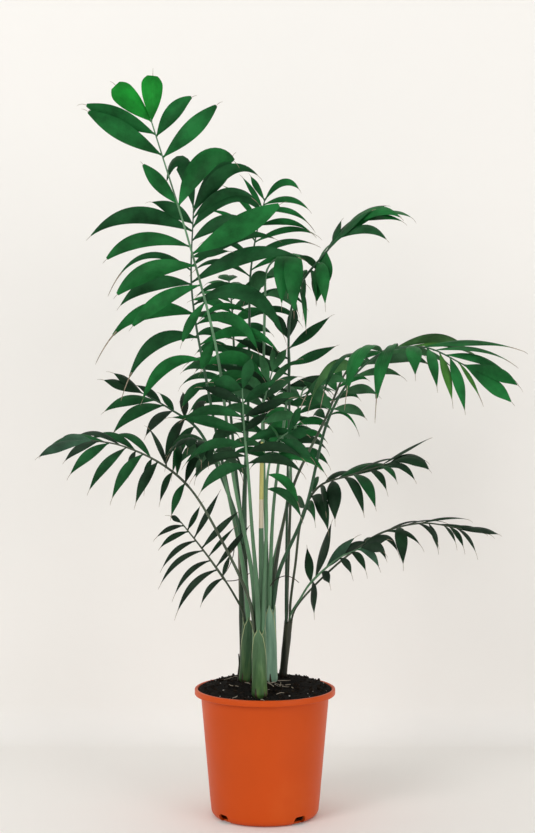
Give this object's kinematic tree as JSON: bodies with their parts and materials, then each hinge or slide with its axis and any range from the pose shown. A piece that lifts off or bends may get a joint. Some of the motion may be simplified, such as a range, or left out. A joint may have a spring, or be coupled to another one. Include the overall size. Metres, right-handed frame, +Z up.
{
  "type": "potted parlour palm",
  "caption": "Living parlour palm with arching feather fronds on slim stems, standing in a round tapered nursery pot filled with compost.",
  "frame": {"origin": "centre of the pot's flat underside, on the pot's axis, where the plant stands on the floor", "axes": "+Z up along the pot's axis, +X to the right and +Y to the back as the plant is seen from its front"},
  "size_m": [0.6131, 0.4742, 0.9883],
  "materials": {
    "pot_plastic": "satin",
    "compost": "matte",
    "sheath": "satin",
    "cane": "matte",
    "petiole": "satin",
    "frond": "satin"
  },
  "bodies": {
    "root": {"pot": "pot_plastic", "soil": "compost", "stem_front": "sheath", "stem_left": "sheath", "stem_back": "cane", "stem_centre": "sheath", "stem_right": "cane", "petiole_top_left": "petiole", "petiole_top_centre": "petiole", "petiole_back_upright": "petiole", "petiole_centre_upright": "petiole", "petiole_right_top": "petiole", "petiole_centre_fan": "petiole", "petiole_left_upper": "petiole", "petiole_left_long": "petiole", "petiole_left_low": "petiole", "petiole_right_long": "petiole", "petiole_right_behind": "petiole", "petiole_right_mid": "petiole", "petiole_right_low": "petiole", "petiole_right_inner": "petiole", "petiole_front_centre": "petiole", "petiole_front_left": "petiole", "petiole_front_right": "petiole", "petiole_middle_high": "petiole", "petiole_back_left": "petiole", "petiole_back_right": "petiole", "petiole_back_low": "petiole", "petiole_back_high": "petiole", "frond_top_left": "frond", "frond_top_centre": "frond", "frond_back_upright": "frond", "frond_centre_upright": "frond", "frond_right_top": "frond", "frond_centre_fan": "frond", "frond_left_upper": "frond", "frond_left_long": "frond", "frond_left_low": "frond", "frond_right_long": "frond", "frond_right_behind": "frond", "frond_right_mid": "frond", "frond_right_low": "frond", "frond_right_inner": "frond", "frond_front_centre": "frond", "frond_front_left": "frond", "frond_front_right": "frond", "frond_middle_high": "frond", "frond_back_left": "frond", "frond_back_right": "frond", "frond_back_low": "frond", "frond_back_high": "frond"}
  },
  "joints": []
}
